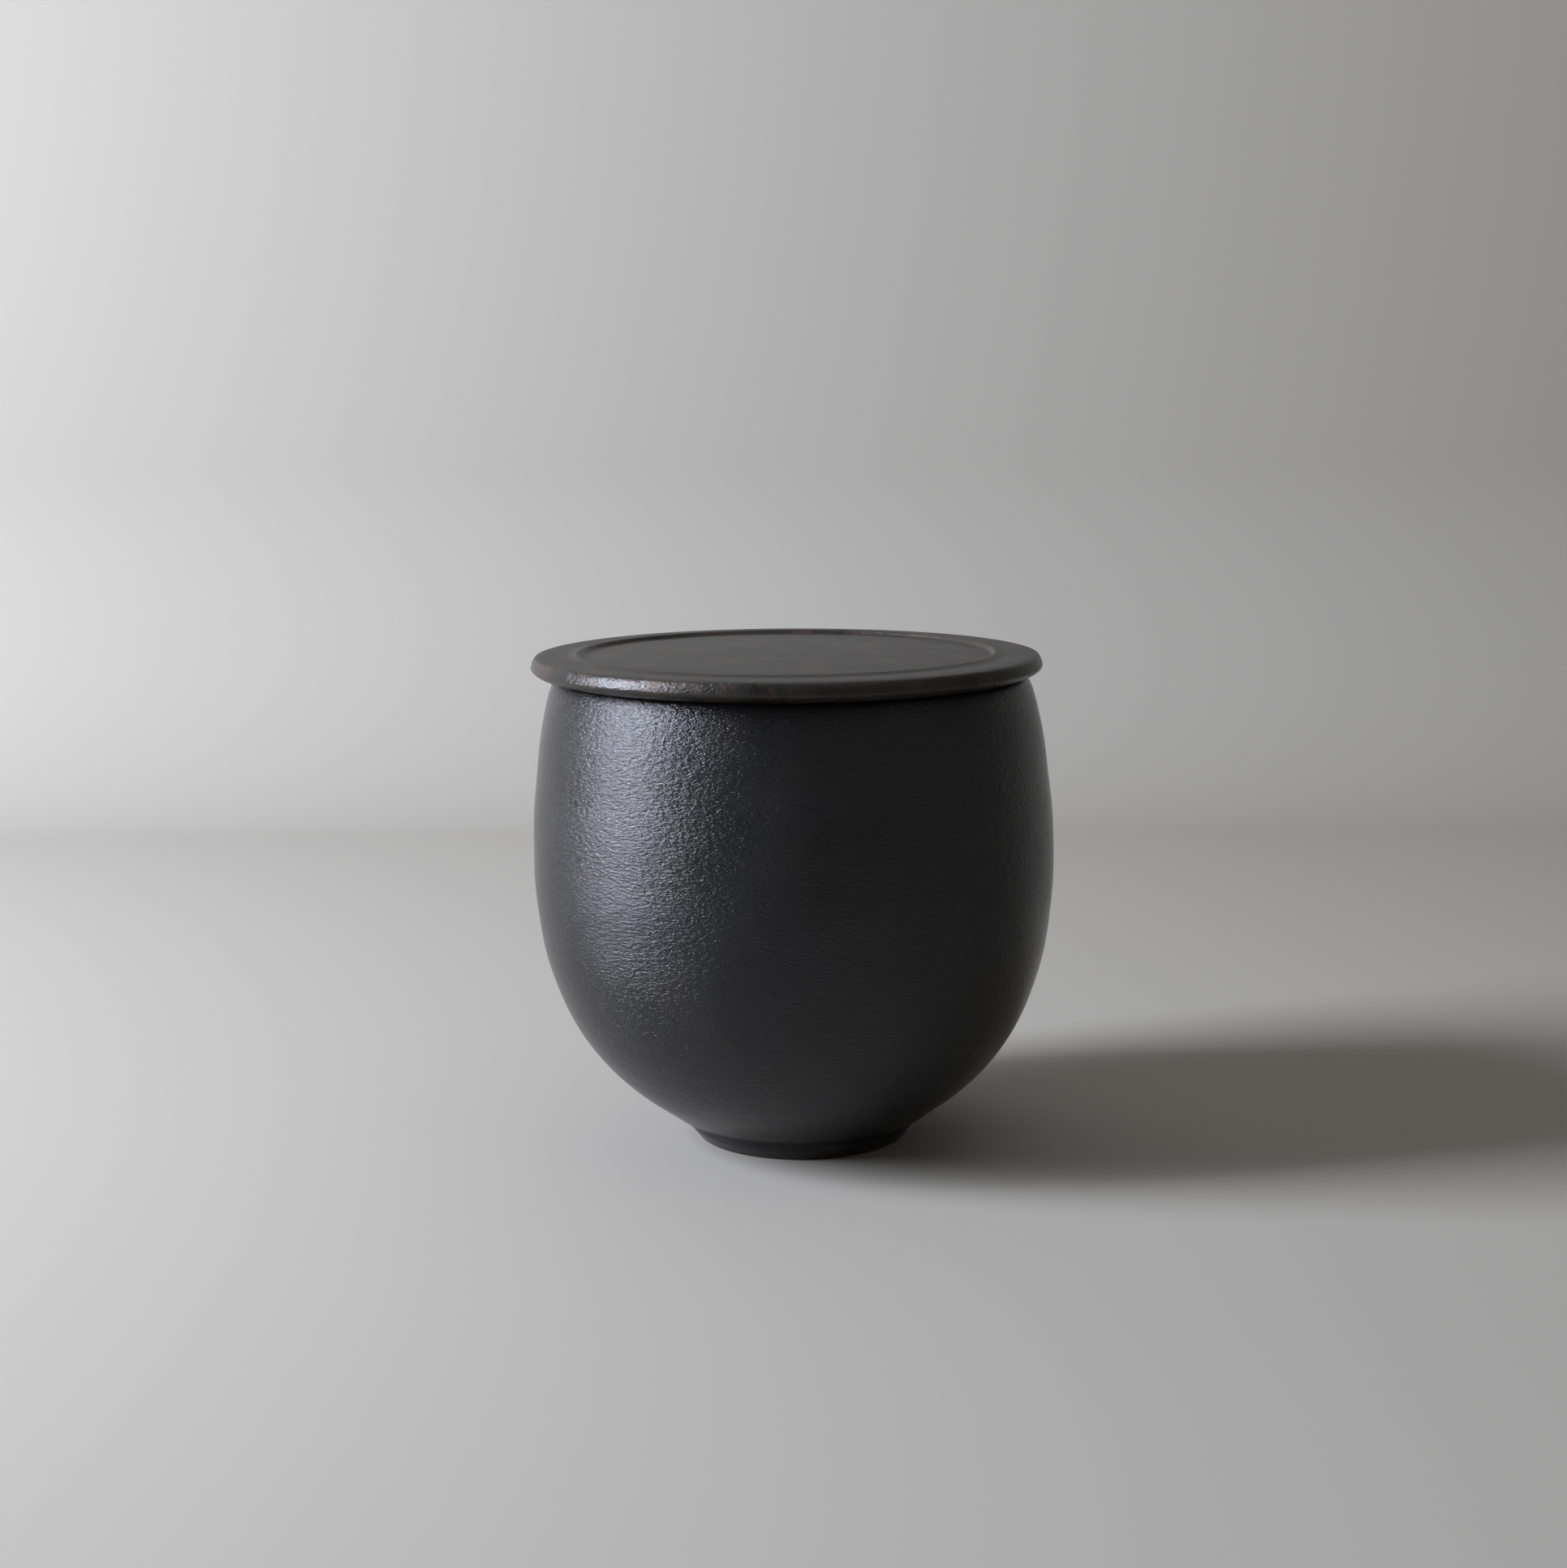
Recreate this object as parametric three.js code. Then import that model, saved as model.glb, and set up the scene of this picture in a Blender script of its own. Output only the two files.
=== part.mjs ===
// Lidded jar of black-glazed stoneware, thrown on a wheel and turned by hand.
// It has two pieces: the jar with its foot, and the flat lid that rests on the jar's rim.
// Millimetres, +Z up. The origin is on the ground, under the axis of the belly.
import * as THREE from 'three';

// Steps round each piece, and steps along a long, a medium and a short stretch of its outline
const ROUND_STEPS = 64;
const LONG_STEPS = 10;
const MEDIUM_STEPS = 6;
const SHORT_STEPS = 3;

// Foot
const FOOT_RADIUS = 21.1;
const FOOT_EDGE_ROUND = 0.5;
const FOOT_RING_WIDTH = 4.2;
const FOOT_RECESS_DEPTH = 2;
const FOOT_WALL_TOP_RADIUS = 22.85;
const FOOT_WALL_TOP = 2.4;
const FOOT_FILLET = 1.8;

// Outside of the jar, from the end of the foot's fillet over the belly to the shoulder's end
const BOWL_START_RADIUS = 26.6;
const BOWL_START = 5.5;
const BOWL_ANGLE = 39.2;
const BOWL_REACH = 9;
const BELLY_RADIUS = 52.25;
const BELLY_HEIGHT = 59;
const BELLY_REACH_DOWN = 39.1;
const BELLY_REACH_UP = 8.1;
const SHOULDER_RADIUS = 46.9;
const SHOULDER_HEIGHT = 93.7;
const SHOULDER_ANGLE = 43.5;
const SHOULDER_REACH = 4.3;

// Rim and inside of the jar
const RIM_HEIGHT = 94.1;
const RIM_OUTER_RADIUS = 46.2;
const MOUTH_RADIUS = 42.2;
const MOUTH_ROUND = 1;
const MOUTH_LOW = 92.3;
const INSIDE_BELLY_RADIUS = 48.1;
const INSIDE_BELLY_HEIGHT = 59;
const INSIDE_SHOULDER_ANGLE = 50;
const INSIDE_SHOULDER_REACH = 5.6;
const INSIDE_REACH_UP = 9;
const INSIDE_REACH_DOWN = 37;
const FLOOR_HEIGHT = 7.2;
const FLOOR_RADIUS = 12;
const FLOOR_ANGLE = 3;
const FLOOR_REACH = 18;

// Lid
const SEAT_GAP = 0.2;
const LID_SEAT = RIM_HEIGHT + SEAT_GAP;
const LID_RADIUS = 50.85;
const LID_WIDEST = 96.15;
const LID_SEAT_RADIUS = 47.45;
const LID_RING_OUTER_RADIUS = 49.8;
const LID_RING_OUTER = 98.25;
const LID_RING_INNER_RADIUS = 44;
const LID_RING_INNER = 98.42;
const LID_CREST_RADIUS = 41.6;
const LID_CREST = 98.9;
const LID_CREST_ROUND = 0.6;
const LID_RECESS_RADIUS = 40.3;
const LID_RECESS = 98.1;
const LID_HOLLOW = 94.9;
const EDGE_POWER = 1.6;
const FLANGE_RADIUS = 40.8;
const FLANGE_WALL = 3.4;
const FLANGE_TAPER = 0.5;
const FLANGE_BOTTOM = 86.5;
const FLANGE_ROUND = 1.4;
const FLANGE_FILLET = 1;

// How far the hand-made pieces are off the belly's axis, along X
const FOOT_SHIFT = 1.3;
const MOUTH_SHIFT = -0.35;
const LID_SHIFT = -1.2;

// Finish
const GLAZE_COLOUR = 0x232327;
const LID_COLOUR = 0x2b2b2c;
const GLAZE_ROUGHNESS = 0.36;
const LID_ROUGHNESS = 0.45;

/** A point of an outline: its distance from the axis and its height. */
function at(radius, height) {
  return new THREE.Vector2(radius, height);
}

/** The point at a distance from another one, in a direction given in degrees above the outward level. */
function reach(from, degrees, distance) {
  const angle = THREE.MathUtils.degToRad(degrees);
  return at(from.x + distance * Math.cos(angle), from.y + distance * Math.sin(angle));
}

/** Points of a cubic Bezier curve through two ends with a handle each. */
function sweep(start, startHandle, endHandle, end, steps) {
  return new THREE.CubicBezierCurve(start, startHandle, endHandle, end).getPoints(steps);
}

/** Points of a corner rounded from one point to another, bulging towards the corner. */
function corner(start, tip, end, steps) {
  return new THREE.QuadraticBezierCurve(start, tip, end).getPoints(steps);
}

/** A quarter of a superellipse from the widest point to an end above or below it. */
function edgeQuarter(widest, end, steps) {
  const points = [];
  for (let step = 0; step <= steps; step += 1) {
    const angle = (step / steps) * (Math.PI / 2);
    const outward = Math.cos(angle) ** (2 / EDGE_POWER);
    const along = Math.sin(angle) ** (2 / EDGE_POWER);
    points.push(at(end.x + (widest.x - end.x) * outward, widest.y + (end.y - widest.y) * along));
  }
  return points;
}

/** Joins stretches of outline, dropping points that repeat the one before. */
function outline(...stretches) {
  const points = stretches.flat();
  return points.filter((point, index) => index === 0 || point.distanceTo(points[index - 1]) > 1e-4);
}

/** Turns an outline round the Z axis, then moves each ring along X by its height's shift. */
function thrown(points, shiftAt) {
  const geometry = new THREE.LatheGeometry(points, ROUND_STEPS);
  geometry.rotateX(Math.PI / 2);
  const position = geometry.attributes.position;
  for (let index = 0; index < position.count; index += 1) {
    position.setX(index, position.getX(index) + shiftAt(position.getZ(index)));
  }
  geometry.computeVertexNormals();
  return geometry;
}

/** The jar's centre line: under the belly it swings towards the foot, above it towards the mouth. */
function jarShift(height) {
  if (height < BELLY_HEIGHT) {
    return FOOT_SHIFT * (1 - height / BELLY_HEIGHT) ** 2;
  }
  return MOUTH_SHIFT * ((height - BELLY_HEIGHT) / (RIM_HEIGHT - BELLY_HEIGHT));
}

/** The foot: a shallow recess, the flat ring it stands on, and a wall that leans out to the bowl. */
function footOutline() {
  const ringInner = FOOT_RADIUS - FOOT_RING_WIDTH;
  const wallTop = at(FOOT_WALL_TOP_RADIUS, FOOT_WALL_TOP);
  return outline(
    [at(0, FOOT_RECESS_DEPTH)],
    corner(
      at(ringInner - FOOT_RECESS_DEPTH, FOOT_RECESS_DEPTH),
      at(ringInner - FOOT_EDGE_ROUND, FOOT_RECESS_DEPTH),
      at(ringInner, 0),
      SHORT_STEPS,
    ),
    corner(
      at(FOOT_RADIUS - FOOT_EDGE_ROUND, 0),
      at(FOOT_RADIUS, 0),
      at(FOOT_RADIUS + FOOT_EDGE_ROUND / 2, FOOT_EDGE_ROUND),
      SHORT_STEPS,
    ),
    sweep(
      wallTop,
      at(wallTop.x, wallTop.y + FOOT_FILLET),
      reach(at(BOWL_START_RADIUS, BOWL_START), BOWL_ANGLE, -FOOT_FILLET),
      at(BOWL_START_RADIUS, BOWL_START),
      MEDIUM_STEPS,
    ),
  );
}

/** The outside of the jar, from the foot's fillet over the belly to the rim. */
function outsideOutline() {
  const bowlStart = at(BOWL_START_RADIUS, BOWL_START);
  const belly = at(BELLY_RADIUS, BELLY_HEIGHT);
  const shoulder = at(SHOULDER_RADIUS, SHOULDER_HEIGHT);
  return outline(
    sweep(
      bowlStart,
      reach(bowlStart, BOWL_ANGLE, BOWL_REACH),
      at(BELLY_RADIUS, BELLY_HEIGHT - BELLY_REACH_DOWN),
      belly,
      LONG_STEPS,
    ),
    sweep(
      belly,
      at(BELLY_RADIUS, BELLY_HEIGHT + BELLY_REACH_UP),
      reach(shoulder, -SHOULDER_ANGLE, SHOULDER_REACH),
      shoulder,
      LONG_STEPS,
    ),
    [at(RIM_OUTER_RADIUS, RIM_HEIGHT)],
  );
}

/** The inside of the jar: the rounded mouth, the wall down past the belly, and the floor. */
function insideOutline() {
  const belly = at(INSIDE_BELLY_RADIUS, INSIDE_BELLY_HEIGHT);
  return outline(
    corner(
      at(MOUTH_RADIUS + MOUTH_ROUND, RIM_HEIGHT),
      at(MOUTH_RADIUS, RIM_HEIGHT),
      at(MOUTH_RADIUS, RIM_HEIGHT - MOUTH_ROUND),
      SHORT_STEPS,
    ),
    sweep(
      at(MOUTH_RADIUS, MOUTH_LOW),
      reach(at(MOUTH_RADIUS, MOUTH_LOW), -INSIDE_SHOULDER_ANGLE, INSIDE_SHOULDER_REACH),
      at(INSIDE_BELLY_RADIUS, INSIDE_BELLY_HEIGHT + INSIDE_REACH_UP),
      belly,
      MEDIUM_STEPS,
    ),
    sweep(
      belly,
      at(INSIDE_BELLY_RADIUS, INSIDE_BELLY_HEIGHT - INSIDE_REACH_DOWN),
      reach(at(FLOOR_RADIUS, FLOOR_HEIGHT), FLOOR_ANGLE, FLOOR_REACH),
      at(FLOOR_RADIUS, FLOOR_HEIGHT),
      LONG_STEPS,
    ),
    [at(0, FLOOR_HEIGHT)],
  );
}

/** The jar, one body of clay with its foot. */
function jarBody() {
  const material = new THREE.MeshStandardMaterial({
    color: GLAZE_COLOUR,
    roughness: GLAZE_ROUGHNESS,
    metalness: 0.1,
  });
  const mesh = new THREE.Mesh(
    thrown(outline(footOutline(), outsideOutline(), insideOutline()), jarShift),
    material,
  );
  mesh.name = 'jar_body';
  return mesh;
}

/** The flange under the lid: down its inner wall, round its edge and up its outer wall to the seat. */
function flangeOutline() {
  const innerTop = FLANGE_RADIUS - FLANGE_WALL;
  const innerLow = innerTop + FLANGE_TAPER;
  const outerLow = FLANGE_RADIUS - FLANGE_TAPER;
  const middle = (innerLow + outerLow) / 2;
  return outline(
    [at(0, LID_HOLLOW)],
    corner(
      at(innerTop - FLANGE_FILLET, LID_HOLLOW),
      at(innerTop, LID_HOLLOW),
      at(innerTop, LID_HOLLOW - FLANGE_FILLET),
      SHORT_STEPS,
    ),
    corner(
      at(innerLow, FLANGE_BOTTOM + FLANGE_ROUND),
      at(innerLow, FLANGE_BOTTOM),
      at(middle, FLANGE_BOTTOM),
      SHORT_STEPS,
    ),
    corner(
      at(middle, FLANGE_BOTTOM),
      at(outerLow, FLANGE_BOTTOM),
      at(outerLow, FLANGE_BOTTOM + FLANGE_ROUND),
      SHORT_STEPS,
    ),
    [at(FLANGE_RADIUS, LID_SEAT)],
  );
}

/** The lid's outer edge and top: seat, rounded edge, level ring, raised crest, and the recess. */
function plateOutline() {
  const widest = at(LID_RADIUS, LID_WIDEST);
  const lower = edgeQuarter(widest, at(LID_SEAT_RADIUS, LID_SEAT), MEDIUM_STEPS).reverse();
  const upper = edgeQuarter(widest, at(LID_RING_OUTER_RADIUS, LID_RING_OUTER), MEDIUM_STEPS);
  return outline(
    lower,
    upper,
    sweep(
      at(LID_RING_INNER_RADIUS, LID_RING_INNER),
      at(LID_RING_INNER_RADIUS - LID_CREST_ROUND, LID_RING_INNER),
      at(LID_CREST_RADIUS + LID_CREST_ROUND, LID_CREST),
      at(LID_CREST_RADIUS, LID_CREST),
      SHORT_STEPS,
    ),
    corner(
      at(LID_CREST_RADIUS, LID_CREST),
      at(LID_CREST_RADIUS - LID_CREST_ROUND, LID_CREST),
      at(LID_RECESS_RADIUS, LID_RECESS),
      SHORT_STEPS,
    ),
    [at(0, LID_RECESS)],
  );
}

/** The lid, one body of clay, a little to one side of the mouth as it was set down. */
function lid() {
  const material = new THREE.MeshStandardMaterial({
    color: LID_COLOUR,
    roughness: LID_ROUGHNESS,
    metalness: 0.1,
  });
  const mesh = new THREE.Mesh(
    thrown(outline(flangeOutline(), plateOutline()), () => 0),
    material,
  );
  mesh.name = 'lid';
  mesh.position.x = LID_SHIFT;
  return mesh;
}

const jar = new THREE.Group();
jar.add(jarBody(), lid());

export default jar;
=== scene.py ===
"""Lidded jar of thrown stoneware under a satin black iron glaze, on a plain pale sweep.

The jar and its lid are dense thrown surfaces that stand for the two CAD solids.
"""

import logging
import math
from collections.abc import Callable
from dataclasses import dataclass, field
from enum import Enum

import bpy
import numpy as np
from mathutils import Euler, Matrix, Vector


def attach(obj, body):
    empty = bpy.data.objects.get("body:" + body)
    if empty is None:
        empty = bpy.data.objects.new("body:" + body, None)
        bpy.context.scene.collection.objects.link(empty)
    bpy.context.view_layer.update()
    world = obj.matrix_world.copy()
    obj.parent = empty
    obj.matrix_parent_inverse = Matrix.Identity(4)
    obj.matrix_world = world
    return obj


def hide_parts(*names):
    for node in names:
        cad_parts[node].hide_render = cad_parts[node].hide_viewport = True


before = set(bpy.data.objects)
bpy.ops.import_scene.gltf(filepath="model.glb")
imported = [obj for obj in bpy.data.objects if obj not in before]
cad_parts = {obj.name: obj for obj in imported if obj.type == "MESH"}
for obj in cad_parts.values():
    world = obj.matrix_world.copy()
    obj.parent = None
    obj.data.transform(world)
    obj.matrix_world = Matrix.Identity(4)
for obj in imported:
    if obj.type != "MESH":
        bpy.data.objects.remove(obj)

MM = 0.001
SAME_POINT_MM = 1e-4
ROUNDING_MM = 1e-6
POLE_FADE_MM = 3.0
SMOOTHING_REACH = 2
LOG = logging.getLogger("lidded_jar")
Relief = Callable[[np.ndarray, np.ndarray, np.ndarray], np.ndarray]
Point = tuple[float, float]
Span = tuple[float, float]
Tree = bpy.types.NodeTree
Socket = bpy.types.NodeSocket


class Body(Enum):
    """The moving bodies that the pieces ride on."""

    JAR = "jar"
    LID = "lid"


class Slot(Enum):
    """The names of the material slots."""

    JAR = "jar_glaze"
    LID = "lid_glaze"


def linear(colour: str) -> tuple[float, float, float, float]:
    """Turns an sRGB hex colour into linear light.

    Args:
        colour: six hex digits with a leading hash.

    Returns:
        Red, green, blue and an alpha of one.
    """
    parts = [int(colour[start : start + 2], 16) / 255 for start in (1, 3, 5)]
    light = [part / 12.92 if part <= 0.04045 else ((part + 0.055) / 1.055) ** 2.4 for part in parts]
    return light[0], light[1], light[2], 1.0


def add_node(tree: Tree, kind: str, inputs: dict | None = None, **settings: object) -> bpy.types.Node:
    """Adds one node with its settings and links.

    Args:
        tree: the material's or world's node tree.
        kind: Blender's name of the node type.
        inputs: socket name or index to a value, or to the output that feeds it.
        settings: the node's own properties.

    Returns:
        The new node.
    """
    node = tree.nodes.new(kind)
    for name, value in settings.items():
        setattr(node, name, value)
    for key, value in (inputs or {}).items():
        if isinstance(value, Socket):
            tree.links.new(value, node.inputs[key])
        else:
            node.inputs[key].default_value = value
    return node


def per_metre(size_mm: float) -> float:
    """The texture scale whose features are about one size in millimetres across."""
    return 1 / (size_mm * MM)


@dataclass(frozen=True)
class Mottle:
    """Cloudy variation in the glaze. Its size is in millimetres."""

    size: float
    detail: float = 2.0
    roughness: float = 0.5

    def spread(self, place: Socket) -> dict[str, object]:
        """The noise inputs that give this variation at a place on the pot."""
        scale = per_metre(self.size)
        return {"Vector": place, "Scale": scale, "Detail": self.detail, "Roughness": self.roughness}


@dataclass
class Patterns:
    """The patterns of one glaze, each a socket that runs from 0 to 1."""

    clouds: Socket
    warmth: Socket
    peel: Socket
    grain: Socket
    pits: Socket
    worn: Socket
    bare: Socket


@dataclass(frozen=True)
class IronGlaze:
    """Satin black iron glaze on thrown stoneware.

    It is nearly black with bluish and brown clouds, and its grain of small crystals, drawn out
    round the pot by the wheel, breaks a window's highlight into short level streaks. Where it
    runs thin over an edge it turns rust brown, and bare clay shows where it was wiped off for
    the firing. Sizes and depths are in millimetres. A span is the pair of pattern values
    between which a share rises from none to its most.
    """

    name: str
    dark: str = "#0e0e10"
    cloud: str = "#1b1b1f"
    warm: str = "#1f1a17"
    thin: str = "#452a1e"
    # Painted shade: the pinholes take a colour darker than the glaze, standing for the shade inside each
    # hole.
    pit_shade: str = "#0a0908"
    clay: str = "#57473b"
    index: float = 1.46
    roughness_low: float = 0.14
    roughness_high: float = 0.25
    roughness_span: Span = (0.3, 0.7)
    upward_roughness: float = 0.0
    upward_from: float = 0.7
    thin_dryness: float = 0.35
    dry_roughness: float = 0.88
    clouds: Mottle = Mottle(16.0, detail=4.0)
    cloud_span: Span = (0.35, 0.7)
    warmth: Mottle = Mottle(9.6, detail=3.0, roughness=0.6)
    warm_span: Span = (0.52, 0.75)
    warm_most: float = 0.6
    grain: Mottle = Mottle(1.1, detail=3.0, roughness=0.7)
    grain_height: float = 0.5
    grain_depth: float = 0.32
    speckle_span: Span = (0.55, 0.75)
    speckle_most: float = 0.5
    peel: Mottle = Mottle(4.5, detail=1.0)
    peel_depth: float = 0.05
    patches: Mottle = Mottle(9.0)
    patch_edges: Mottle = Mottle(3.0, detail=1.0)
    patch_span: Span = (1.72, 2.1)
    pit_gap: float = 7.0
    pit_radius: float = 0.3
    pit_core: float = 0.5
    pit_depth: float = 0.15
    pit_choice: float = 0.62

    def build(self) -> bpy.types.Material:
        """Builds the node tree.

        Returns:
            The material.
        """
        material = bpy.data.materials.new(self.name)
        material.use_nodes = True
        tree = material.node_tree
        tree.nodes.clear()
        patterns = self._patterns(tree)
        surface = {
            "Base Color": self._colour(tree, patterns),
            "Roughness": self._roughness(tree, patterns),
            "Normal": self._normal(tree, patterns),
            "IOR": self.index,
        }
        shader = add_node(tree, "ShaderNodeBsdfPrincipled", surface)
        add_node(tree, "ShaderNodeOutputMaterial", {"Surface": shader.outputs["BSDF"]})
        return material

    def _patterns(self, tree: Tree) -> Patterns:
        """Lays out every pattern, from object coordinates and the pot's own edge attributes.

        The grain is noise squeezed along Z into level streaks.

        Args:
            tree: the material's node tree.

        Returns:
            The patterns.
        """
        place = add_node(tree, "ShaderNodeTexCoord").outputs["Object"]
        bare = add_node(tree, "ShaderNodeAttribute", attribute_name="bare").outputs["Fac"]
        squeeze = (1.0, 1.0, self.grain.size / self.grain_height)
        level = add_node(tree, "ShaderNodeMapping", {"Vector": place, "Scale": squeeze}).outputs["Vector"]
        return Patterns(
            clouds=add_node(tree, "ShaderNodeTexNoise", self.clouds.spread(place)).outputs["Fac"],
            warmth=add_node(tree, "ShaderNodeTexNoise", self.warmth.spread(place)).outputs["Fac"],
            peel=add_node(tree, "ShaderNodeTexNoise", self.peel.spread(place)).outputs["Fac"],
            grain=add_node(tree, "ShaderNodeTexNoise", self.grain.spread(level)).outputs["Fac"],
            pits=self._pits(tree, place),
            worn=self._worn(tree, place),
            bare=bare,
        )

    def _pits(self, tree: Tree, place: Socket) -> Socket:
        """Sparse pinholes, where the surface passes close to a chosen point of scattered ones.

        Args:
            tree: the material's node tree.
            place: the place on the pot.

        Returns:
            A share that is 1 inside a pinhole.
        """
        scattered = {"Vector": place, "Scale": per_metre(self.pit_gap), "Randomness": 1.0}
        points = add_node(tree, "ShaderNodeTexVoronoi", scattered)
        edge = self.pit_radius / self.pit_gap
        near = {"Value": points.outputs["Distance"], "From Min": edge, "From Max": edge * self.pit_core}
        inside = add_node(tree, "ShaderNodeMapRange", near).outputs["Result"]
        choice = {0: points.outputs["Color"], 1: self.pit_choice}
        chosen = add_node(tree, "ShaderNodeMath", choice, operation="GREATER_THAN").outputs["Value"]
        return add_node(tree, "ShaderNodeMath", {0: inside, 1: chosen}, operation="MULTIPLY").outputs["Value"]

    def _worn(self, tree: Tree, place: Socket) -> Socket:
        """Broken patches of thin glaze along the edges.

        Two noises and the wear attribute are added. Where the sum passes the span's values a
        patch shows, and never more strongly than the wear itself.

        Args:
            tree: the material's node tree.
            place: the place on the pot.

        Returns:
            The share of thin glaze.
        """
        total = add_node(tree, "ShaderNodeAttribute", attribute_name="wear").outputs["Fac"]
        wear = total
        for mottle in (self.patches, self.patch_edges):
            noise = add_node(tree, "ShaderNodeTexNoise", mottle.spread(place)).outputs["Fac"]
            total = add_node(tree, "ShaderNodeMath", {0: total, 1: noise}, operation="ADD").outputs["Value"]
        rise = {"Value": total, "From Min": self.patch_span[0], "From Max": self.patch_span[1]}
        patches = add_node(tree, "ShaderNodeMapRange", rise).outputs["Result"]
        return add_node(tree, "ShaderNodeMath", {0: patches, 1: wear}, operation="MULTIPLY").outputs["Value"]

    def _colour(self, tree: Tree, patterns: Patterns) -> Socket:
        """Dark glaze under clouds, brown warmth and speckle, then rust edges, painted shade in the pinholes,
        and bare clay.

        Args:
            tree: the material's node tree.
            patterns: the glaze's patterns.

        Returns:
            The colour.
        """
        layers = []
        for pattern, span, most, tint in (
            (patterns.clouds, self.cloud_span, 1.0, self.cloud),
            (patterns.warmth, self.warm_span, self.warm_most, self.warm),
            (patterns.grain, self.speckle_span, self.speckle_most, self.cloud),
        ):
            rise = {"Value": pattern, "From Min": span[0], "From Max": span[1], "To Max": most}
            layers.append((add_node(tree, "ShaderNodeMapRange", rise).outputs["Result"], tint))
        # The pinholes are coloured darker here as painted shade in the holes.
        layers += [(patterns.worn, self.thin), (patterns.pits, self.pit_shade), (patterns.bare, self.clay)]
        colour = linear(self.dark)
        for share, tint in layers:
            both = {0: share, 6: colour, 7: linear(tint)}
            colour = add_node(tree, "ShaderNodeMix", both, data_type="RGBA").outputs[2]
        return colour

    def _roughness(self, tree: Tree, patterns: Patterns) -> Socket:
        """Satin on the glaze, matt from handling on upward faces, dry where thin and on bare clay.

        Args:
            tree: the material's node tree.
            patterns: the glaze's patterns.

        Returns:
            The roughness.
        """
        satin = {
            "Value": patterns.clouds,
            "From Min": self.roughness_span[0],
            "From Max": self.roughness_span[1],
            "To Min": self.roughness_low,
            "To Max": self.roughness_high,
        }
        glaze = add_node(tree, "ShaderNodeMapRange", satin).outputs["Result"]
        facing = add_node(tree, "ShaderNodeNewGeometry").outputs["Normal"]
        upward = add_node(tree, "ShaderNodeSeparateXYZ", {"Vector": facing}).outputs["Z"]
        handled = {"Value": upward, "From Min": self.upward_from, "To Max": self.upward_roughness}
        matt = add_node(tree, "ShaderNodeMapRange", handled).outputs["Result"]
        glaze = add_node(tree, "ShaderNodeMath", {0: glaze, 1: matt}, operation="ADD").outputs["Value"]
        thinned = {0: patterns.worn, 1: self.thin_dryness}
        thin = add_node(tree, "ShaderNodeMath", thinned, operation="MULTIPLY").outputs["Value"]
        drier = {0: thin, 1: patterns.bare}
        dry = add_node(tree, "ShaderNodeMath", drier, operation="MAXIMUM").outputs["Value"]
        between = {"Value": dry, "To Min": glaze, "To Max": self.dry_roughness}
        return add_node(tree, "ShaderNodeMapRange", between).outputs["Result"]

    def _normal(self, tree: Tree, patterns: Patterns) -> Socket:
        """Bumps of the slow orange peel, of the grain over it, and of the pinholes sunk into both.

        Args:
            tree: the material's node tree.
            patterns: the glaze's patterns.

        Returns:
            The bumped normal.
        """
        below = {}
        for height, depth, sunk in (
            (patterns.peel, self.peel_depth, False),
            (patterns.grain, self.grain_depth, False),
            (patterns.pits, self.pit_depth, True),
        ):
            inputs = {"Height": height, "Distance": depth * MM, "Strength": 1.0} | below
            below = {"Normal": add_node(tree, "ShaderNodeBump", inputs, invert=sunk).outputs["Normal"]}
        return below["Normal"]


def arc(*handles: Point, points: int) -> np.ndarray:
    """A Bezier curve of any degree, by repeated linear blends of its handles.

    Args:
        handles: radius and height of each handle, in millimetres.
        points: how many points to sample.

    Returns:
        An array of points, one row of radius and height each.
    """
    share = np.linspace(0, 1, points)[:, None]
    levels = [np.broadcast_to(np.array(handle, float), (points, 2)) for handle in handles]
    while len(levels) > 1:
        levels = [a + (b - a) * share for a, b in zip(levels, levels[1:])]
    return levels[0]


def away(start: Point, degrees: float, distance: float) -> Point:
    """The point at a distance in a direction given in degrees above the outward level."""
    angle = math.radians(degrees)
    return start[0] + distance * math.cos(angle), start[1] + distance * math.sin(angle)


@dataclass
class Stretch:
    """A stretch of an outline, with how worn and how bare it is, from 0 to 1."""

    points: np.ndarray
    wear: float = 0.0
    bare: float = 0.0

    def rows(self) -> np.ndarray:
        """Radius, height, wear and bareness of each point."""
        count = len(self.points)
        return np.column_stack([self.points, np.full(count, self.wear), np.full(count, self.bare)])


def joined(stretches: list[Stretch]) -> np.ndarray:
    """Joins stretches into one outline without repeated points.

    Wear and bareness become the mean of each point and its neighbours on both sides.

    Args:
        stretches: the stretches in order.

    Returns:
        Rows of radius, height, wear and bareness.
    """
    rows = np.concatenate([stretch.rows() for stretch in stretches])
    step = np.linalg.norm(np.diff(rows[:, :2], axis=0), axis=1)
    rows = rows[np.concatenate([[True], step > SAME_POINT_MM])]
    padded = np.pad(rows[:, 2:], ((SMOOTHING_REACH, SMOOTHING_REACH), (0, 0)), mode="edge")
    width = 2 * SMOOTHING_REACH + 1
    rows[:, 2:] = sum(padded[lag : lag + len(rows)] for lag in range(width)) / width
    return rows


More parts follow.
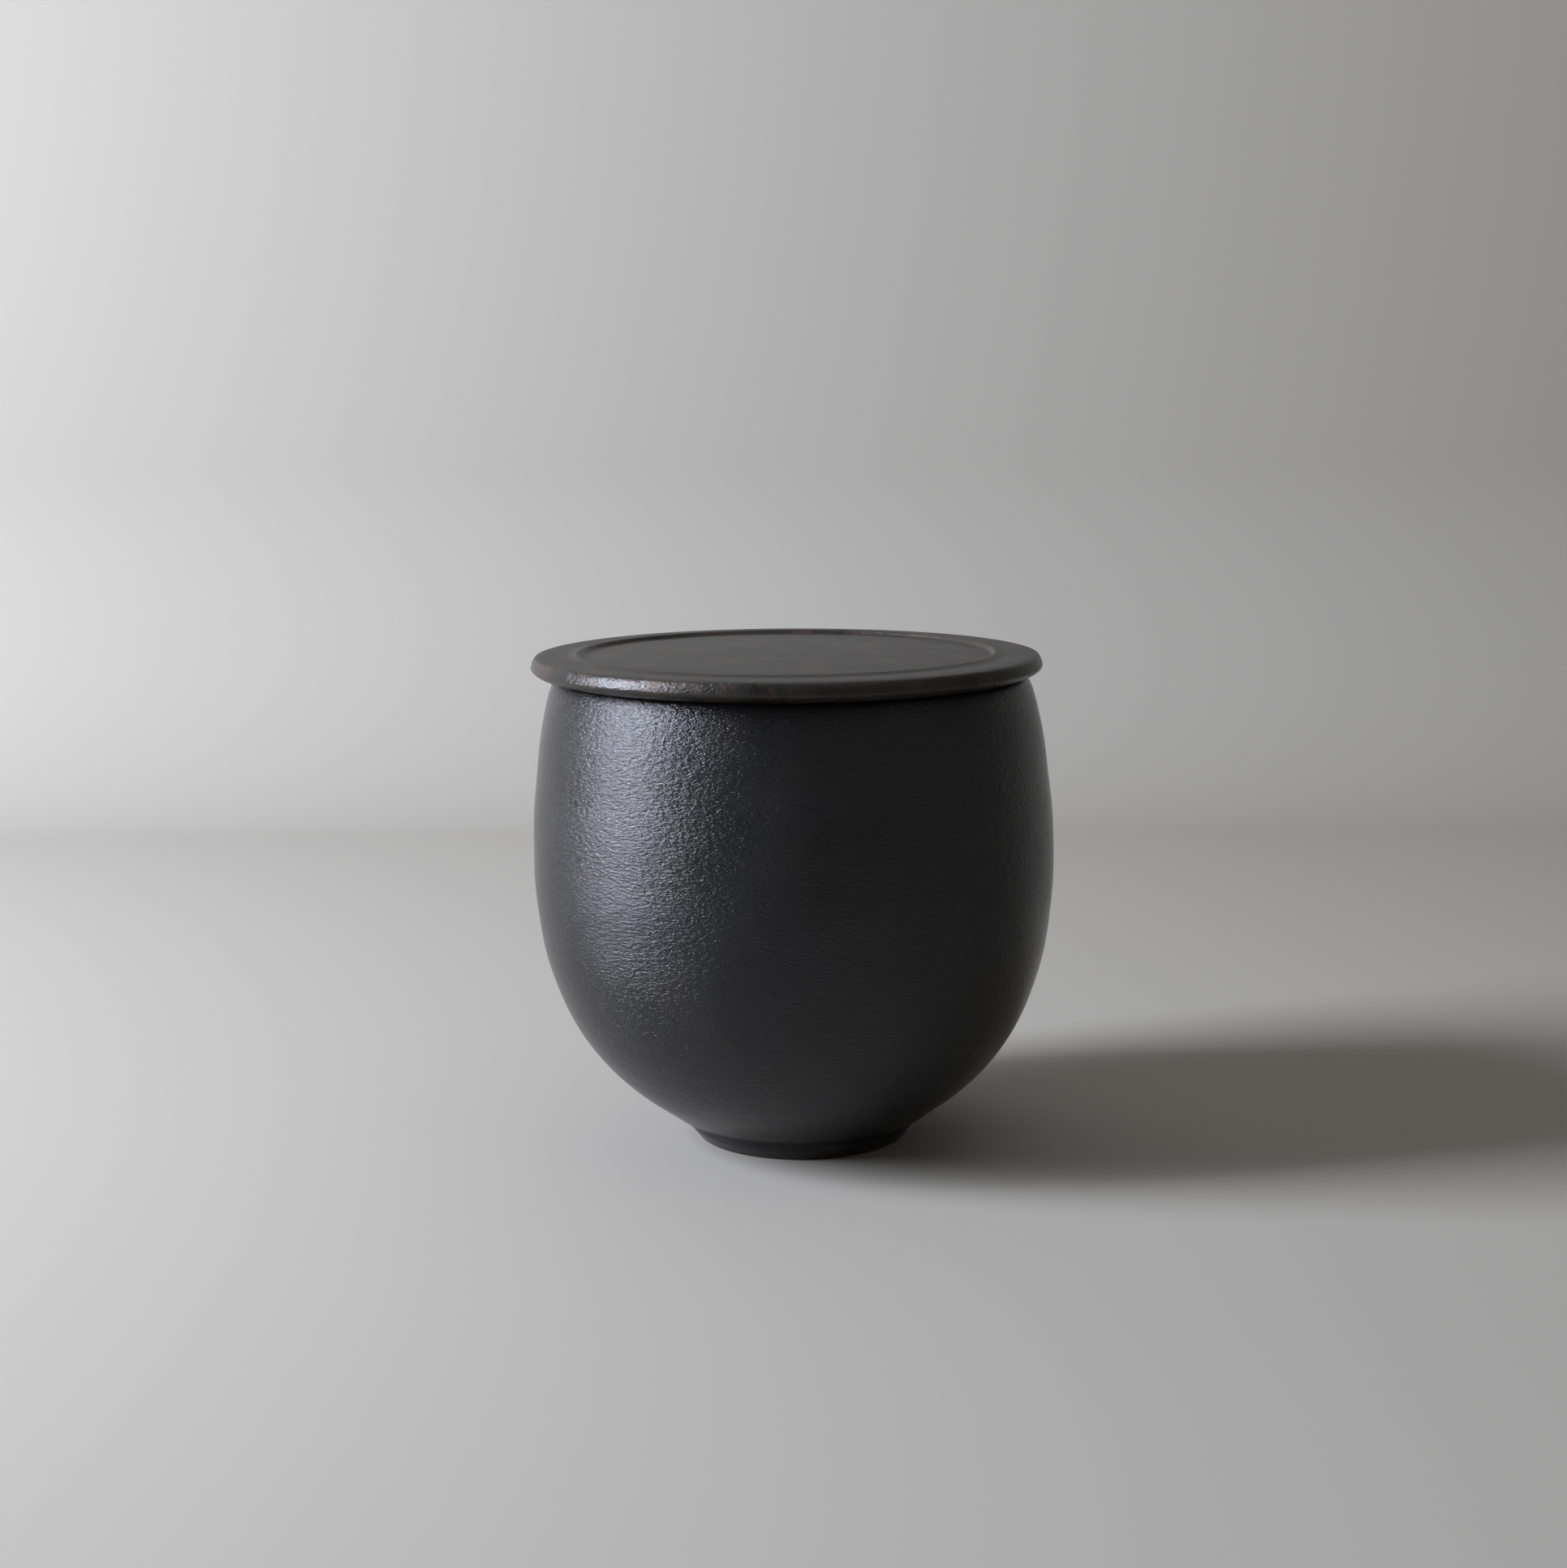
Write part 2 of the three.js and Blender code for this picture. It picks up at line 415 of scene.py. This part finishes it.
def thrown(name: str, rows: np.ndarray, shift: np.ndarray, relief: Relief, around: int) -> bpy.types.Object:
    """Turns an outline round the Z axis and moves each point out by its relief.

    A point at angle a on a row of radius r and height z lies at (shift + r cos a, r sin a, z),
    then moves along the outline's own normal by relief(a, z, r), which fades out near the axis.
    The first and last rows lie on the axis and become one pole point each.

    Args:
        name: the object's name.
        rows: radius, height, wear and bareness, in millimetres, from one pole to the other.
        shift: how far each row is off the axis, along X, in millimetres.
        relief: the relief in millimetres from the angles, heights and radii of the grid.
        around: how many points a row has.

    Returns:
        The object, at the origin.
    """
    angle = np.linspace(0, 2 * np.pi, around, endpoint=False)[None, :]
    radius, height = rows[:, :1], rows[:, 1:2]
    tangent = np.gradient(rows[:, :2], axis=0)
    tangent /= np.linalg.norm(tangent, axis=1, keepdims=True)
    out = relief(angle, height, radius) * np.minimum(radius / POLE_FADE_MM, 1)
    wide = radius + out * tangent[:, 1:2]
    high = height - out * tangent[:, :1]
    grid = np.stack([shift[:, None] + wide * np.cos(angle), wide * np.sin(angle), high + 0 * angle], axis=2)
    inner = grid[1:-1].reshape(-1, 3)
    points = np.concatenate([grid[:1, 0], inner, grid[-1:, 0]]) * MM
    count = len(rows) - 2
    first = 1 + np.arange(count)[:, None] * around + np.arange(around)[None, :]
    beside = np.roll(first, -1, axis=1)
    quads = np.stack([first[:-1], beside[:-1], beside[1:], first[1:]], axis=2).reshape(-1, 4)
    last = len(points) - 1
    bottom = np.stack([np.zeros(around, int), beside[0], first[0]], axis=1)
    top = np.stack([first[-1], beside[-1], np.full(around, last)], axis=1)
    mesh = bpy.data.meshes.new(name)
    mesh.from_pydata(points.tolist(), [], bottom.tolist() + quads.tolist() + top.tolist())
    mesh.polygons.foreach_set("use_smooth", np.ones(len(mesh.polygons), bool))
    for column, label in ((2, "wear"), (3, "bare")):
        values = np.concatenate([rows[:1, column], np.repeat(rows[1:-1, column], around), rows[-1:, column]])
        mesh.attributes.new(label, "FLOAT", "POINT").data.foreach_set("value", values.astype(np.float32))
    mesh.update()
    piece = bpy.data.objects.new(name, mesh)
    bpy.context.scene.collection.objects.link(piece)
    return piece


@dataclass(frozen=True)
class Ridges:
    """Uneven level ridges left by the fingers.

    Depth and middle pitch are in millimetres. Each phase is drawn from about a whole turn.
    """

    depth: float
    pitch: float
    seed: int
    count: int = 5
    pitch_spread: Span = (0.6, 1.7)
    sway_spread: Span = (0.4, 1.2)
    most_sways: int = 3
    whole_turn: float = 6.3

    def relief(self, angle: np.ndarray, along: np.ndarray) -> np.ndarray:
        """The mean of a few sines along the outline whose phase sways a little with the angle.

        Args:
            angle: the grid's angles in radians.
            along: the height, or the radius on a level face, in millimetres.

        Returns:
            The relief in millimetres, one value for each point of the grid.
        """
        draw = np.random.default_rng(self.seed)
        total = np.zeros(np.broadcast_shapes(angle.shape, along.shape))
        for pitch in self.pitch * draw.uniform(*self.pitch_spread, self.count):
            reach = draw.uniform(*self.sway_spread)
            sways = draw.integers(1, self.most_sways + 1)
            sway = reach * np.sin(angle * sways + draw.uniform(0, self.whole_turn))
            total = total + np.sin(2 * np.pi * along / pitch + sway + draw.uniform(0, self.whole_turn))
        return self.depth * total / self.count


@dataclass
class ThrownJar:
    """The jar with its turned foot.

    Sizes are in millimetres, and angles in degrees above the outward level. A pull is how far
    a curve's handle lies from the end that it belongs to.
    """

    foot_radius: float = 21.1
    foot_ring: float = 4.2
    foot_recess: float = 2.0
    foot_round: float = 0.5
    foot_lean: float = 0.25
    foot_top: Point = (22.85, 2.4)
    foot_pull: float = 1.8
    bowl_start: Point = (26.6, 5.5)
    bowl_angle: float = 39.2
    bowl_pull: float = 9.0
    belly: Point = (52.25, 59.0)
    belly_pull_down: float = 39.1
    belly_pull_up: float = 8.1
    shoulder: Point = (46.9, 93.7)
    shoulder_angle: float = 43.5
    shoulder_pull: float = 4.3
    rim_corner: Point = (46.5, 94.05)
    rim: Point = (46.2, 94.1)
    mouth_radius: float = 42.2
    mouth_round: float = 1.0
    mouth_low: float = 92.3
    mouth_angle: float = -50.0
    mouth_pull: float = 5.6
    inner_belly: float = 48.1
    inner_pull_up: float = 9.0
    inner_pull_down: float = 37.0
    floor: Point = (12.0, 7.2)
    floor_angle: float = 3.0
    floor_pull: float = 18.0
    foot_shift: float = 1.3
    mouth_shift: float = -0.35
    fine_ridges: Ridges = Ridges(0.025, 3.4, seed=11)
    broad_ridges: Ridges = Ridges(0.07, 17.0, seed=12, count=3)
    inner_rings: Ridges = Ridges(0.16, 5.0, seed=21, count=3)
    inner_rise: float = 4.0
    inner_rings_radius: float = 20.0
    smooth_foot: float = 0.5
    smooth_foot_fade: float = 6.0
    smooth_rim_fade: float = 3.0
    rows_fade: int = 12
    around: int = 300
    glaze: IronGlaze = field(default_factory=lambda: IronGlaze(Slot.JAR.value))

    def outline(self) -> np.ndarray:
        """The closed outline from the foot's recess over the outside and inside to the floor."""
        return joined(self._foot() + self._outside() + self._inside())

    def _foot(self) -> list[Stretch]:
        """The foot's recess, the flat bare ring it stands on and its leaning wall.

        Returns:
            The stretches, from the axis outwards.
        """
        ring = self.foot_radius - self.foot_ring
        recess, edge = self.foot_recess, self.foot_round
        corner, stand = (ring - recess, recess), self.foot_radius - edge
        wall = (self.foot_radius + self.foot_lean, edge)
        start, top = self.bowl_start, self.foot_top
        top_handle = (top[0], top[1] + self.foot_pull)
        start_handle = away(start, self.bowl_angle, -self.foot_pull)
        return [
            Stretch(arc((0, recess), corner, points=14), bare=0.25),
            Stretch(arc(corner, (ring - edge, recess), (ring, 0), points=9), wear=0.6, bare=0.6),
            Stretch(arc((ring, 0), (stand, 0), points=6), bare=1.0),
            Stretch(arc((stand, 0), (self.foot_radius, 0), wall, points=6), wear=0.7, bare=0.3),
            Stretch(arc(wall, top, points=4), wear=0.4),
            Stretch(arc(top, top_handle, start_handle, start, points=12), wear=0.1),
        ]

    def _outside(self) -> list[Stretch]:
        """The bowl up to the belly, the upper wall, and the shoulder curling in to the rim.

        Returns:
            The stretches, from the foot upwards.
        """
        start, belly, shoulder = self.bowl_start, self.belly, self.shoulder
        start_handle = away(start, self.bowl_angle, self.bowl_pull)
        belly_below = (belly[0], belly[1] - self.belly_pull_down)
        belly_above = (belly[0], belly[1] + self.belly_pull_up)
        shoulder_handle = away(shoulder, -self.shoulder_angle, self.shoulder_pull)
        return [
            Stretch(arc(start, start_handle, belly_below, belly, points=72)),
            Stretch(arc(belly, belly_above, shoulder_handle, shoulder, points=48)),
            Stretch(arc(shoulder, self.rim_corner, self.rim, points=6), wear=0.5),
        ]

    def _inside(self) -> list[Stretch]:
        """The flat rim, the rounded mouth, the wall with its throwing rings, and the floor.

        Returns:
            The stretches, from the rim down to the axis.
        """
        mouth, rim, belly = self.mouth_radius, self.rim, (self.inner_belly, self.belly[1])
        low = (mouth, self.mouth_low)
        lip = (mouth + self.mouth_round, rim[1])
        lip_below = (mouth, rim[1] - self.mouth_round)
        low_handle = away(low, self.mouth_angle, self.mouth_pull)
        belly_above = (belly[0], belly[1] + self.inner_pull_up)
        belly_below = (belly[0], belly[1] - self.inner_pull_down)
        floor_handle = away(self.floor, self.floor_angle, self.floor_pull)
        return [
            Stretch(arc(rim, lip, points=5), wear=0.5, bare=0.7),
            Stretch(arc(lip, (mouth, rim[1]), lip_below, low, points=8), wear=0.9),
            Stretch(arc(low, low_handle, belly_above, belly, points=40)),
            Stretch(arc(belly, belly_below, floor_handle, self.floor, points=70)),
            Stretch(arc(self.floor, (0, self.floor[1]), points=12)),
        ]

    def shift(self, height: np.ndarray) -> np.ndarray:
        """How far the centre is off the axis: square below the belly, straight above it."""
        low = self.foot_shift * np.clip(1 - height / self.belly[1], 0, None) ** 2
        high = self.mouth_shift * np.clip((height - self.belly[1]) / (self.rim[1] - self.belly[1]), 0, None)
        return low + high

    def relief(self, inside_from: int) -> Relief:
        """Faint ridges outside, deeper throwing rings inside, none on the seat and the foot ring.

        The outside's ridges fade in above the foot and out below the shoulder. The inside's
        rings climb a little in each turn, so that they run as a spiral.

        Args:
            inside_from: the first row of the inside.

        Returns:
            The relief as a function of angle, height and radius.
        """

        def amount(angle: np.ndarray, height: np.ndarray, radius: np.ndarray) -> np.ndarray:
            row = np.arange(len(height))[:, None]
            above_foot = np.clip((height - self.smooth_foot) / self.smooth_foot_fade, 0, 1)
            below_rim = np.clip((self.shoulder[1] - height) / self.smooth_rim_fade, 0, 1)
            ridges = self.fine_ridges.relief(angle, height) + self.broad_ridges.relief(angle, height)
            rings = self.inner_rings.relief(angle, height + self.inner_rise * angle / (2 * np.pi))
            inside = np.clip((row - inside_from - self.rows_fade) / self.rows_fade, 0, 1)
            off_floor = np.clip(radius / self.inner_rings_radius, 0, 1)
            return np.where(row < inside_from, ridges * above_foot * below_rim, rings * inside * off_floor)

        return amount

    def build(self) -> bpy.types.Object:
        """Builds and dresses the jar.

        Returns:
            The finished object.
        """
        rows = self.outline()
        inside_from = int(np.argmax(rows[:, 1] >= self.rim[1] - ROUNDING_MM))
        piece = thrown("thrown_jar", rows, self.shift(rows[:, 1]), self.relief(inside_from), self.around)
        piece.data.materials.append(self.glaze.build())
        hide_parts("jar_body")
        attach(piece, Body.JAR.value)
        return piece


@dataclass(frozen=True)
class LidGlaze(IronGlaze):
    """The same glaze on the lid, drier, rubbed matt on its upper face, and lighter and browner: partly its
    own tone, partly painted reflection of the pale wall.
    """

    name: str = Slot.LID.value
    # The lighter, browner colours are partly the glaze's own tone and partly a painted reflection of the pale
    # wall on the lid's top.
    dark: str = "#100f0e"
    cloud: str = "#2d2925"
    warm: str = "#473124"
    roughness_low: float = 0.24
    roughness_high: float = 0.34
    upward_roughness: float = 0.14
    grain_depth: float = 0.2


@dataclass
class RingedLid:
    """The flat lid with its raised outer ring and the flange under it. Sizes are in millimetres."""

    seat: Point = (47.45, 94.3)
    widest: Point = (50.85, 96.15)
    edge_power: float = 1.6
    ring_outer: Point = (49.8, 98.25)
    ring_shoulder: Point = (49.0, 98.55)
    ring_dip: Point = (46.5, 98.4)
    ring_inner: Point = (44.0, 98.42)
    crest: Point = (41.6, 98.9)
    crest_foot: float = 42.9
    crest_shoulder: float = 42.3
    step: float = 41.0
    recess: Point = (40.3, 98.1)
    dome: float = 0.7
    dome_level: float = 20.0
    hollow: float = 94.9
    hollow_round: float = 1.0
    flange_radius: float = 40.8
    flange_wall: float = 3.4
    flange_taper: float = 0.5
    flange_bottom: float = 86.5
    flange_round: float = 1.4
    shift_x: float = -1.2
    fine_rings: Ridges = Ridges(0.02, 3.2, seed=31)
    broad_rings: Ridges = Ridges(0.04, 14.0, seed=32, count=3)
    edge_waves: Ridges = Ridges(0.06, 40.0, seed=33, count=3)
    edge_turns: int = 3
    rows_fade: int = 8
    around: int = 300
    glaze: IronGlaze = field(default_factory=LidGlaze)

    def quarter(self, end: Point, points: int) -> np.ndarray:
        """A quarter of a superellipse from the widest point of the edge to an end above or below.

        Args:
            end: radius and height of the end.
            points: how many points to sample.

        Returns:
            Rows of radius and height.
        """
        angle = np.linspace(0, np.pi / 2, points)
        across = np.cos(angle) ** (2 / self.edge_power)
        along = np.sin(angle) ** (2 / self.edge_power)
        radius = end[0] + (self.widest[0] - end[0]) * across
        height = self.widest[1] + (end[1] - self.widest[1]) * along
        return np.column_stack([radius, height])

    def outline(self) -> np.ndarray:
        """The closed outline from the hollow under the lid round its edge to the middle of its top."""
        return joined(self._flange() + self._edge() + self._top())

    def _flange(self) -> list[Stretch]:
        """The hollow under the lid and the flange that keeps it in the mouth.

        Returns:
            The stretches, from the axis out to the seat.
        """
        inner, hollow, bottom = self.flange_radius - self.flange_wall, self.hollow, self.flange_bottom
        low_in, low_out = inner + self.flange_taper, self.flange_radius - self.flange_taper
        middle, above = (low_in + low_out) / 2, bottom + self.flange_round
        ceiling, wall = (inner - self.hollow_round, hollow), (inner, hollow - self.hollow_round)
        outer = (self.flange_radius, self.seat[1])
        return [
            Stretch(arc((0, hollow), ceiling, points=34)),
            Stretch(arc(ceiling, (inner, hollow), wall, points=7)),
            Stretch(arc(wall, (low_in, above), points=9)),
            Stretch(arc((low_in, above), (low_in, bottom), (middle, bottom), points=7), wear=0.8, bare=0.3),
            Stretch(arc((middle, bottom), (low_out, bottom), (low_out, above), points=7), wear=0.8, bare=0.3),
            Stretch(arc((low_out, above), outer, points=9)),
            Stretch(arc(outer, self.seat, points=8), bare=0.7),
        ]

    def _edge(self) -> list[Stretch]:
        """The rounded outer edge, where the glaze runs thin."""
        lower, upper = self.quarter(self.seat, 12)[::-1], self.quarter(self.ring_outer, 12)
        return [Stretch(lower, wear=0.65), Stretch(upper, wear=0.68)]

    def _top(self) -> list[Stretch]:
        """The ring with its crest, the step down from it, and the shallow domed recess.

        Returns:
            The stretches, from the edge in to the axis.
        """
        crest, recess = self.crest, self.recess
        top = recess[1] + self.dome
        foot, shoulder = (self.crest_foot, self.ring_inner[1]), (self.crest_shoulder, crest[1])
        step_high, step_low = (self.step, crest[1]), (self.step, recess[1])
        band = arc(self.ring_outer, self.ring_shoulder, self.ring_dip, self.ring_inner, points=12)
        return [
            Stretch(band, wear=0.2),
            Stretch(arc(self.ring_inner, foot, shoulder, crest, points=9), wear=0.25),
            Stretch(arc(crest, step_high, step_low, recess, points=9), wear=0.75),
            Stretch(arc(recess, (self.dome_level, top), (0, top), points=44)),
        ]

    def relief(self, top_from: int) -> Relief:
        """Faint rings on the top face and slow waves round it, none where the lid meets the jar.

        Args:
            top_from: the first row of the outer edge.

        Returns:
            The relief as a function of angle, height and radius.
        """

        def amount(angle: np.ndarray, height: np.ndarray, radius: np.ndarray) -> np.ndarray:
            row = np.arange(len(height))[:, None]
            top = np.clip((row - top_from - self.rows_fade) / self.rows_fade, 0, 1)
            rings = self.fine_rings.relief(angle, radius) + self.broad_rings.relief(angle, radius)
            return (rings + self.edge_waves.relief(angle * self.edge_turns, height)) * top

        return amount

    def build(self) -> bpy.types.Object:
        """Builds and dresses the lid.

        Returns:
            The finished object.
        """
        rows = self.outline()
        top_from = int(np.argmax(rows[:, 0] >= self.seat[0] - ROUNDING_MM))
        shift = np.full(len(rows), self.shift_x)
        piece = thrown("ringed_lid", rows, shift, self.relief(top_from), self.around)
        piece.data.materials.append(self.glaze.build())
        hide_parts("lid")
        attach(piece, Body.LID.value)
        return piece


@dataclass(frozen=True)
class SoftLamp:
    """A soft box. Sizes are in metres, and its radiance is the brightness of its own face."""

    name: str
    place: tuple[float, float, float]
    target: tuple[float, float, float]
    size: tuple[float, float]
    radiance: float
    colour: str = "#ffffff"

    def build(self) -> bpy.types.Object:
        """Builds the lamp, turned to its target.

        Returns:
            The lamp's object.
        """
        lamp = bpy.data.lights.new(self.name, "AREA")
        lamp.shape = "RECTANGLE"
        lamp.size, lamp.size_y = self.size
        lamp.energy = self.radiance * math.pi * self.size[0] * self.size[1]
        lamp.color = linear(self.colour)[:3]
        holder = bpy.data.objects.new(self.name, lamp)
        holder.location = self.place
        holder.rotation_euler = (Vector(self.target) - Vector(self.place)).to_track_quat("-Z", "Y").to_euler()
        bpy.context.scene.collection.objects.link(holder)
        return holder


@dataclass
class Studio:
    """The pale sweep, the soft lamps, the even surroundings and the camera. Sizes are in metres."""

    sweep_colour: str = "#a29e96"
    sweep_roughness: float = 0.8
    sweep_specular: float = 0.2
    wall_distance: float = 0.46
    bend: float = 0.12
    bend_points: int = 24
    reach: float = 1.6
    wall_height: float = 1.0
    focal_px: float = 3100.0
    frame_px: float = 1932.0
    sensor_mm: float = 36.0
    camera_place: tuple[float, float, float] = (-0.00198, -0.4995, 0.1523)
    pitch_down: float = 9.15
    roll: float = 0.40
    surroundings: str = "#ececea"
    surroundings_light: float = 0.16
    surroundings_seen: float = 0.8
    lamps: tuple[SoftLamp, ...] = (
        SoftLamp("window", (-0.8, -0.13, 0.42), (0, 0, 0.1), (0.28, 0.6), 44.0, "#e9efff"),
        SoftLamp("overhead", (0.15, 0.05, 1.2), (0, 0.1, 0), (1.1, 1.1), 0.4),
        SoftLamp("far_side", (0.8, -0.55, 0.5), (0, 0, 0.06), (0.3, 0.4), 0.5),
    )

    def sweep(self) -> bpy.types.Object:
        """Floor and wall as one sheet: level, then a quarter circle, then upright.

        Returns:
            The sheet, marked as stage.
        """
        turn = np.linspace(0, np.pi / 2, self.bend_points)
        along = np.concatenate([[-self.reach], self.wall_distance - self.bend + self.bend * np.sin(turn)])
        up = np.concatenate([[0.0], self.bend * (1 - np.cos(turn))])
        along = np.append(along, self.wall_distance)
        up = np.append(up, self.wall_height)
        sides = np.array([-self.reach, self.reach])
        grid = np.stack(np.broadcast_arrays(sides[None, :], along[:, None], up[:, None]), axis=2)
        first = np.arange(len(along) - 1)[:, None] * 2
        faces = first + np.array([[0, 1, 3, 2]])
        mesh = bpy.data.meshes.new("sweep")
        mesh.from_pydata(grid.reshape(-1, 3).tolist(), [], faces.tolist())
        mesh.polygons.foreach_set("use_smooth", np.ones(len(mesh.polygons), bool))
        mesh.update()
        piece = bpy.data.objects.new("sweep", mesh)
        bpy.context.scene.collection.objects.link(piece)
        mesh.materials.append(self.sweep_material())
        return piece

    def sweep_material(self) -> bpy.types.Material:
        """Plain matt board, seen through from behind so that it never hides the jar.

        Returns:
            The material.
        """
        material = bpy.data.materials.new("sweep_board")
        material.use_nodes = True
        tree = material.node_tree
        tree.nodes.clear()
        matt = {
            "Base Color": linear(self.sweep_colour),
            "Roughness": self.sweep_roughness,
            "Specular IOR Level": self.sweep_specular,
        }
        board = add_node(tree, "ShaderNodeBsdfPrincipled", matt)
        clear = add_node(tree, "ShaderNodeBsdfTransparent")
        behind = add_node(tree, "ShaderNodeNewGeometry").outputs["Backfacing"]
        both = add_node(tree, "ShaderNodeMixShader", {0: behind, 1: board.outputs[0], 2: clear.outputs[0]})
        add_node(tree, "ShaderNodeOutputMaterial", {"Surface": both.outputs[0]})
        return material

    def world(self) -> None:
        """Even pale surroundings, much dimmer as a light on the jar than as a background."""
        world = bpy.data.worlds.new("surroundings")
        world.use_nodes = True
        tree = world.node_tree
        tree.nodes.clear()
        seen = add_node(tree, "ShaderNodeLightPath").outputs["Is Camera Ray"]
        levels = {"Value": seen, "To Min": self.surroundings_light, "To Max": self.surroundings_seen}
        strength = add_node(tree, "ShaderNodeMapRange", levels).outputs["Result"]
        glow = {"Color": linear(self.surroundings), "Strength": strength}
        light = add_node(tree, "ShaderNodeBackground", glow)
        add_node(tree, "ShaderNodeOutputWorld", {"Surface": light.outputs[0]})
        bpy.context.scene.world = world

    def camera(self) -> bpy.types.Object:
        """The camera fitted to the jar's outline: along +Y, pitched down and rolled a little.

        Returns:
            The camera's object.
        """
        lens = bpy.data.cameras.new("camera")
        lens.sensor_width = self.sensor_mm
        lens.lens = self.focal_px / self.frame_px * self.sensor_mm
        lens.clip_start = 0.01
        lens.clip_end = 20
        holder = bpy.data.objects.new("camera", lens)
        level = Euler((math.radians(90 - self.pitch_down), 0, 0)).to_matrix().to_4x4()
        rolled = Matrix.Rotation(math.radians(-self.roll), 4, "Z")
        holder.matrix_world = Matrix.Translation(self.camera_place) @ level @ rolled
        bpy.context.scene.collection.objects.link(holder)
        bpy.context.scene.camera = holder
        return holder

    def build(self) -> None:
        """Builds the whole studio."""
        self.sweep()
        self.world()
        self.camera()
        for lamp in self.lamps:
            lamp.build()
        bpy.context.scene.view_settings.view_transform = "Standard"


def main() -> None:
    """Builds the studio, the jar and the lid."""
    logging.basicConfig(level=logging.INFO, format="%(message)s")
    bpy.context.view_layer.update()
    Studio().build()
    for assembly in (ThrownJar(), RingedLid()):
        piece = assembly.build()
        LOG.info("%s: %d faces", piece.name, len(piece.data.polygons))
    bpy.context.view_layer.update()


if __name__ == "__main__":
    main()
